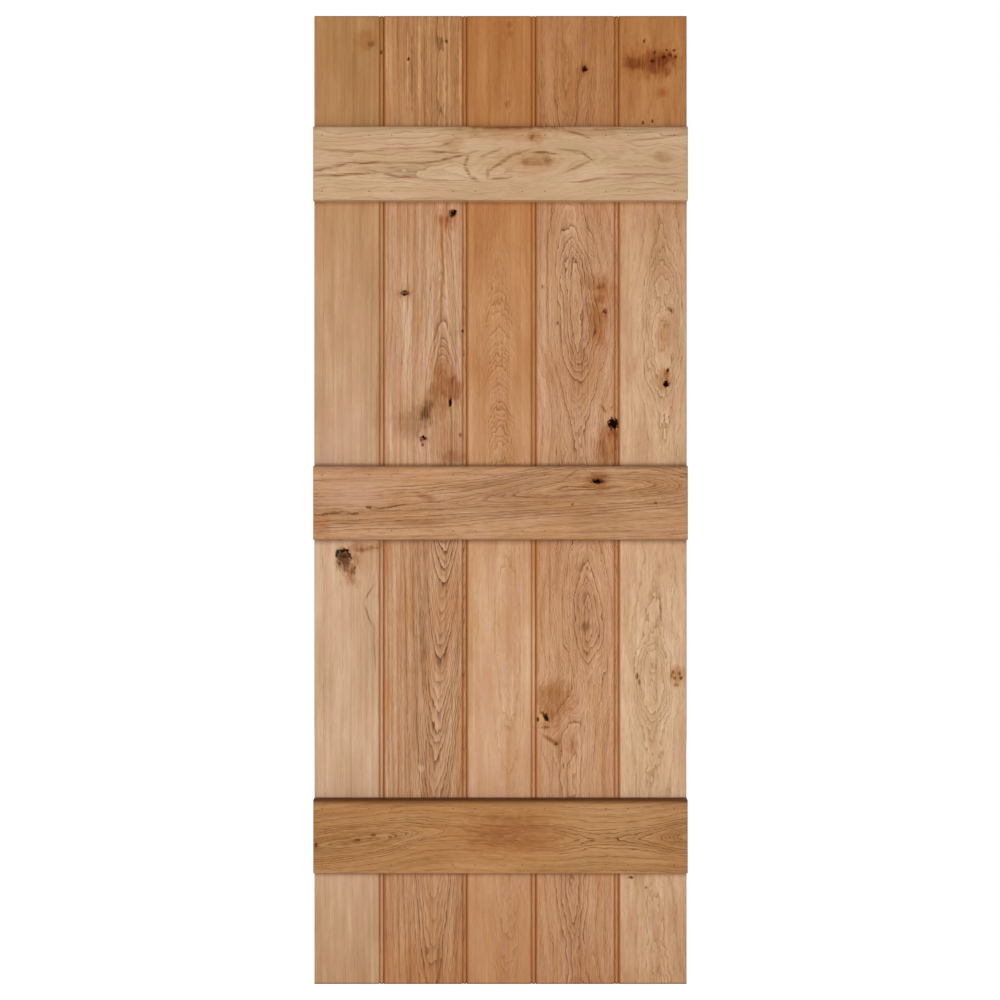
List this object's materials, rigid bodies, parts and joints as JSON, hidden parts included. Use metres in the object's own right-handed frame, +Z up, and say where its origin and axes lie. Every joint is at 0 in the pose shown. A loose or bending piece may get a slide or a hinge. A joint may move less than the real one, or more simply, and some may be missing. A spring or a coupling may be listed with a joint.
{
  "type": "barn door",
  "caption": "Ledged barn door leaf: beaded tongue-and-groove oak boards side by side, nailed to horizontal ledges across the back.",
  "frame": {"origin": "middle of the leaf's bottom edge, half way through its thickness", "axes": "+Z up the leaf, +X across it to the right as seen from the ledged side, -Y out of the ledged side"},
  "size_m": [0.762, 0.044, 1.981],
  "materials": {
    "oak_boards": "planed oak with a thin matt oil",
    "oak_ledges": "planed oak with a thin matt oil",
    "nail_steel": "drawn steel wire gone dull in the oak"
  },
  "bodies": {
    "root": {"board_1": "oak_boards", "board_2": "oak_boards", "board_3": "oak_boards", "board_4": "oak_boards", "board_5": "oak_boards", "top_ledge": "oak_ledges", "middle_ledge": "oak_ledges", "bottom_ledge": "oak_ledges", "top_ledge_nails": "nail_steel", "middle_ledge_nails": "nail_steel", "bottom_ledge_nails": "nail_steel"}
  },
  "joints": []
}
